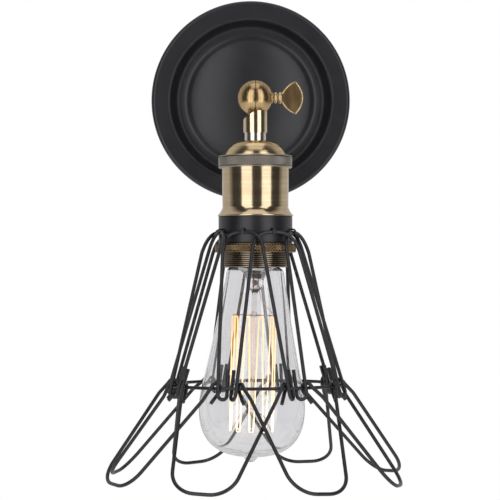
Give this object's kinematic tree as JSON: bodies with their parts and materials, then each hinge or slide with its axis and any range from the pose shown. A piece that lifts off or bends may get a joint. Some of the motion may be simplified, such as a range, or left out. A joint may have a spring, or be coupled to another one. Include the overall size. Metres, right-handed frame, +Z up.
{
  "type": "cage wall light",
  "caption": "Wall light with a round canopy, a swivelling brass lamp holder, a clear filament bulb and a cage of bent black wire petals.",
  "frame": {"origin": "Centre of the canopy on the wall face, which is also the centre of the crossbar slots.", "axes": "+Y points into the wall, +Z is up and +X is to the right seen from the room."},
  "size_m": [0.181, 0.1898, 0.2998],
  "materials": {
    "black_paint": "satin black powder coat",
    "antique_brass": "brushed antique brass plating",
    "bright_brass": "plain rolled brass",
    "zinc_steel": "zinc plated",
    "green_screw": "green lacquer",
    "porcelain": "glazed",
    "bulb_glass": "clear",
    "black_glass": "glossy",
    "glowing_filament": "lit filament",
    "support_wire": "drawn wire"
  },
  "bodies": {
    "wall_base": {"canopy": "black_paint", "crossbar": "zinc_steel", "nipple": "zinc_steel", "crossbar_nut": "zinc_steel", "canopy_nut": "zinc_steel", "ground_screw": "green_screw", "swivel_arm": "antique_brass"},
    "tightening_screw": {"thumb_screw": "antique_brass"},
    "lamp_head": {"bulb_base": "bright_brass", "bulb_base_insulator": "black_glass", "bulb_contact": "zinc_steel", "bulb_glass": "bulb_glass", "bulb_stem": "bulb_glass", "cage_collar": "black_paint", "cage_ring": "black_paint", "centre_contact": "bright_brass", "coupler": "antique_brass", "filament": "glowing_filament", "filament_supports": "support_wire", "lower_knurled_ring": "antique_brass", "screw_shell": "bright_brass", "socket_cap": "antique_brass", "socket_insulator": "porcelain", "socket_shell": "antique_brass", "swivel_stem": "antique_brass", "terminal_screws": "bright_brass", "thread_sleeve": "antique_brass", "upper_knurled_ring": "antique_brass", "upper_loop_1": "black_paint", "upper_loop_2": "black_paint", "upper_loop_3": "black_paint", "upper_loop_4": "black_paint", "upper_loop_5": "black_paint", "upper_loop_6": "black_paint", "upper_loop_7": "black_paint", "upper_loop_8": "black_paint"},
    "leaf_1": {"petal_1": "black_paint"},
    "leaf_2": {"petal_2": "black_paint"},
    "leaf_3": {"petal_3": "black_paint"},
    "leaf_4": {"petal_4": "black_paint"},
    "leaf_5": {"petal_5": "black_paint"},
    "leaf_6": {"petal_6": "black_paint"},
    "leaf_7": {"petal_7": "black_paint"},
    "leaf_8": {"petal_8": "black_paint"}
  },
  "joints": [
    {"name": "head_tilt", "type": "hinge", "parent": "wall_base", "child": "lamp_head", "pos_m": [0, -0.085, 0], "axis": [-1, 0, 0], "range_deg": [-3, 173]},
    {"name": "thumb_screw_turn", "type": "hinge", "parent": "wall_base", "child": "tightening_screw", "pos_m": [0, -0.085, 0], "axis": [1, 0, 0], "range_deg": [0, 360]},
    {"name": "leaf_1_hinge", "type": "hinge", "parent": "lamp_head", "child": "leaf_1", "pos_m": [-0.01452, -0.13589, -0.17117], "axis": [-0.9367, 0.3494, -0.0244], "range_deg": [-32, 20]},
    {"name": "leaf_2_hinge", "type": "hinge", "parent": "lamp_head", "child": "leaf_2", "pos_m": [0.01719, -0.13479, -0.17124], "axis": [-0.91, -0.4137, 0.0289], "range_deg": [-32, 20]},
    {"name": "leaf_3_hinge", "type": "hinge", "parent": "lamp_head", "child": "leaf_3", "pos_m": [0.03883, -0.11164, -0.17286], "axis": [-0.3502, -0.9344, 0.0653], "range_deg": [-32, 20]},
    {"name": "leaf_4_hinge", "type": "hinge", "parent": "lamp_head", "child": "leaf_4", "pos_m": [0.03772, -0.08001, -0.17507], "axis": [0.4147, -0.9077, 0.0635], "range_deg": [-32, 20]},
    {"name": "leaf_5_hinge", "type": "hinge", "parent": "lamp_head", "child": "leaf_5", "pos_m": [0.01452, -0.05843, -0.17658], "axis": [0.9367, -0.3494, 0.0244], "range_deg": [-32, 20]},
    {"name": "leaf_6_hinge", "type": "hinge", "parent": "lamp_head", "child": "leaf_6", "pos_m": [-0.01719, -0.05953, -0.17651], "axis": [0.91, 0.4137, -0.0289], "range_deg": [-32, 20]},
    {"name": "leaf_7_hinge", "type": "hinge", "parent": "lamp_head", "child": "leaf_7", "pos_m": [-0.03883, -0.08268, -0.17489], "axis": [0.3502, 0.9344, -0.0653], "range_deg": [-32, 20]},
    {"name": "leaf_8_hinge", "type": "hinge", "parent": "lamp_head", "child": "leaf_8", "pos_m": [-0.03772, -0.11431, -0.17268], "axis": [-0.4147, 0.9077, -0.0635], "range_deg": [-32, 20]}
  ],
  "couplings": [
    {"joint": "leaf_2_hinge", "follows": "leaf_1_hinge", "ratio": 1},
    {"joint": "leaf_3_hinge", "follows": "leaf_1_hinge", "ratio": 1},
    {"joint": "leaf_4_hinge", "follows": "leaf_1_hinge", "ratio": 1},
    {"joint": "leaf_5_hinge", "follows": "leaf_1_hinge", "ratio": 1},
    {"joint": "leaf_6_hinge", "follows": "leaf_1_hinge", "ratio": 1},
    {"joint": "leaf_7_hinge", "follows": "leaf_1_hinge", "ratio": 1},
    {"joint": "leaf_8_hinge", "follows": "leaf_1_hinge", "ratio": 1}
  ]
}
